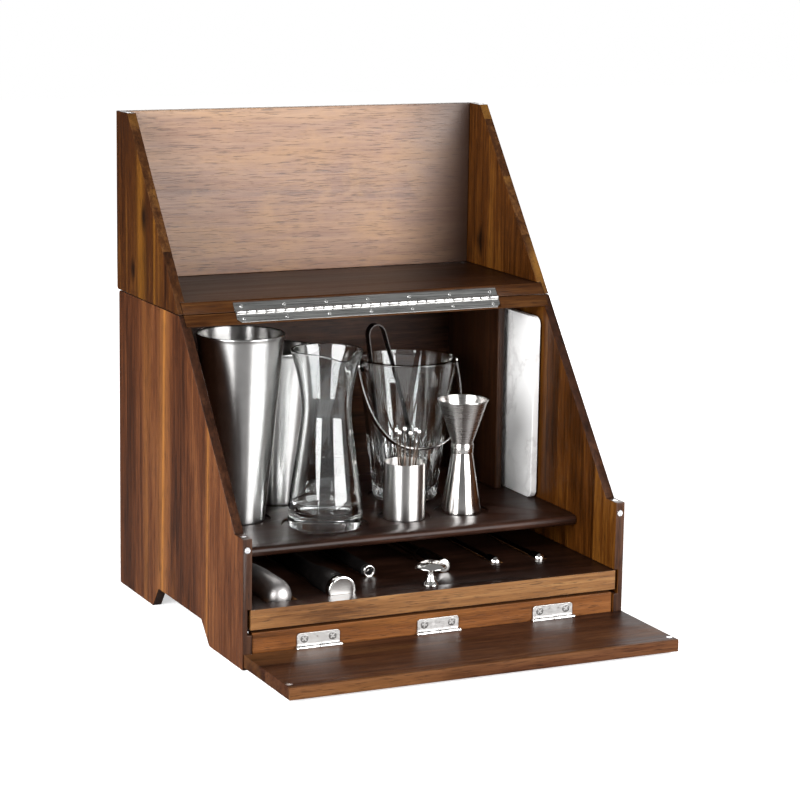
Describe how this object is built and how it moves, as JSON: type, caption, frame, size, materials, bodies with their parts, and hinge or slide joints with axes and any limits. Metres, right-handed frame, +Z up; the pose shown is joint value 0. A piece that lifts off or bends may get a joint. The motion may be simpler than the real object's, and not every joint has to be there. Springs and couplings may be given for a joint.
{
  "type": "tabletop bar box",
  "caption": "Wooden bar box with a swing-over lid, drop flap and sliding tray, open, with tins, glassware and bar tools in place.",
  "frame": {"origin": "middle of the outer box of the open object, on the table", "axes": "+Z up, -Y towards the drop flap, +X to the right seen from the front"},
  "size_m": [0.406, 0.4582, 0.492],
  "materials": {
    "outer_wood": "satin oiled acacia",
    "dark_wood": "gloss dark stained acacia",
    "steel": "brushed",
    "polished_steel": "polished",
    "nickel": "bright nickel",
    "hinge_steel": "dull",
    "magnet": "plated",
    "glass": "clear",
    "dark_grip": "satin",
    "white_stone": "honed, faint grey veins"
  },
  "bodies": {
    "cabinet": {"side_panel_left": "outer_wood", "side_panel_right": "outer_wood", "back_panel": "outer_wood", "roof_board": "outer_wood", "shelf": "dark_wood", "bottom_board": "dark_wood", "front_rail": "outer_wood", "slot_divider": "dark_wood", "front_magnet_left": "magnet", "front_magnet_right": "magnet", "step_magnet_left": "magnet", "step_magnet_right": "magnet", "long_hinge_lower_leaf": "hinge_steel", "long_hinge_pin": "hinge_steel", "rail_leaf_1": "nickel", "rail_leaf_2": "nickel", "rail_leaf_3": "nickel", "flap_hinge_pin_1": "nickel", "flap_hinge_pin_2": "nickel", "flap_hinge_pin_3": "nickel"},
    "lid": {"lid_side_left": "outer_wood", "lid_side_right": "outer_wood", "lid_back": "outer_wood", "lid_board": "outer_wood", "long_hinge_upper_leaf": "hinge_steel", "lid_magnet_left": "magnet", "lid_magnet_right": "magnet"},
    "flap": {"flap_board": "outer_wood", "flap_leaf_1": "nickel", "flap_leaf_2": "nickel", "flap_leaf_3": "nickel", "flap_magnet_left": "magnet", "flap_magnet_right": "magnet"},
    "tray": {"tray": "outer_wood", "tray_knob": "nickel"},
    "domed_tool": {"domed_tool": "steel"},
    "muddler": {"muddler": "dark_grip", "muddler_cap": "polished_steel"},
    "opener": {"opener_handle": "dark_grip", "opener_ring": "polished_steel"},
    "round_tool": {"round_tool": "polished_steel"},
    "slim_tool_left": {"slim_tool_left": "polished_steel"},
    "slim_tool_right": {"slim_tool_right": "polished_steel"},
    "large_tin": {"large_tin": "steel"},
    "small_tin": {"small_tin": "steel"},
    "carafe": {"carafe": "glass"},
    "ice_bucket": {"ice_bucket": "glass"},
    "bail": {"bucket_bail": "steel"},
    "tongs": {"ice_tongs": "polished_steel"},
    "jigger": {"jigger": "polished_steel"},
    "pick_cup": {"pick_cup": "steel"},
    "picks": {"pick_1": "polished_steel", "pick_2": "polished_steel", "pick_3": "polished_steel", "pick_4": "polished_steel", "pick_5": "polished_steel", "pick_6": "polished_steel"},
    "white_board": {"white_board": "white_stone"}
  },
  "joints": [
    {"name": "lid_fold", "type": "hinge", "parent": "cabinet", "child": "lid", "pos_m": [0, 0.04915, 0.3093], "axis": [-1, 0, 0], "range_deg": [-180, 0]},
    {"name": "flap_drop", "type": "hinge", "parent": "cabinet", "child": "flap", "pos_m": [0, -0.11865, 0.0155], "axis": [1, 0, 0], "range_deg": [-90, 0]},
    {"name": "tray_slide", "type": "slide", "parent": "cabinet", "child": "tray", "axis": [0, -1, 0], "range_m": [0, 0.19]},
    {"name": "white_board_slide", "type": "slide", "parent": "cabinet", "child": "white_board", "axis": [0, -1, 0], "range_m": [0, 0.15]},
    {"name": "carafe_lift", "type": "slide", "parent": "cabinet", "child": "carafe", "axis": [0, -0.67, 0.7424], "range_m": [0, 0.15]},
    {"name": "jigger_lift", "type": "slide", "parent": "cabinet", "child": "jigger", "axis": [0, -0.67, 0.7424], "range_m": [0, 0.15]},
    {"name": "pick_cup_lift", "type": "slide", "parent": "cabinet", "child": "pick_cup", "axis": [0, -0.67, 0.7424], "range_m": [0, 0.15]},
    {"name": "picks_lift", "type": "slide", "parent": "pick_cup", "child": "picks", "axis": [0, 0, 1], "range_m": [0, 0.065]},
    {"name": "large_tin_lift", "type": "slide", "parent": "cabinet", "child": "large_tin", "axis": [0, 0, 1], "range_m": [0, 0.012]},
    {"name": "small_tin_lift", "type": "slide", "parent": "cabinet", "child": "small_tin", "axis": [0, 0, 1], "range_m": [0, 0.024]},
    {"name": "ice_bucket_lift", "type": "slide", "parent": "cabinet", "child": "ice_bucket", "axis": [0, 0, 1], "range_m": [0, 0.008]},
    {"name": "tongs_lift", "type": "slide", "parent": "ice_bucket", "child": "tongs", "axis": [0, 0, 1], "range_m": [0, 0.01]},
    {"name": "bail_swing", "type": "hinge", "parent": "ice_bucket", "child": "bail", "pos_m": [0.07001, 0.10815, 0.23504], "axis": [-1, 0, 0], "range_deg": [0, 15]},
    {"name": "domed_tool_lift", "type": "slide", "parent": "tray", "child": "domed_tool", "axis": [0, 0, 1], "range_m": [0, 0.009]},
    {"name": "muddler_lift", "type": "slide", "parent": "tray", "child": "muddler", "axis": [0, 0, 1], "range_m": [0, 0.009]},
    {"name": "opener_lift", "type": "slide", "parent": "tray", "child": "opener", "axis": [0, 0, 1], "range_m": [0, 0.014]},
    {"name": "round_tool_lift", "type": "slide", "parent": "tray", "child": "round_tool", "axis": [0, 0, 1], "range_m": [0, 0.014]},
    {"name": "slim_tool_left_lift", "type": "slide", "parent": "tray", "child": "slim_tool_left", "axis": [0, 0, 1], "range_m": [0, 0.02]},
    {"name": "slim_tool_right_lift", "type": "slide", "parent": "tray", "child": "slim_tool_right", "axis": [0, 0, 1], "range_m": [0, 0.02]}
  ]
}
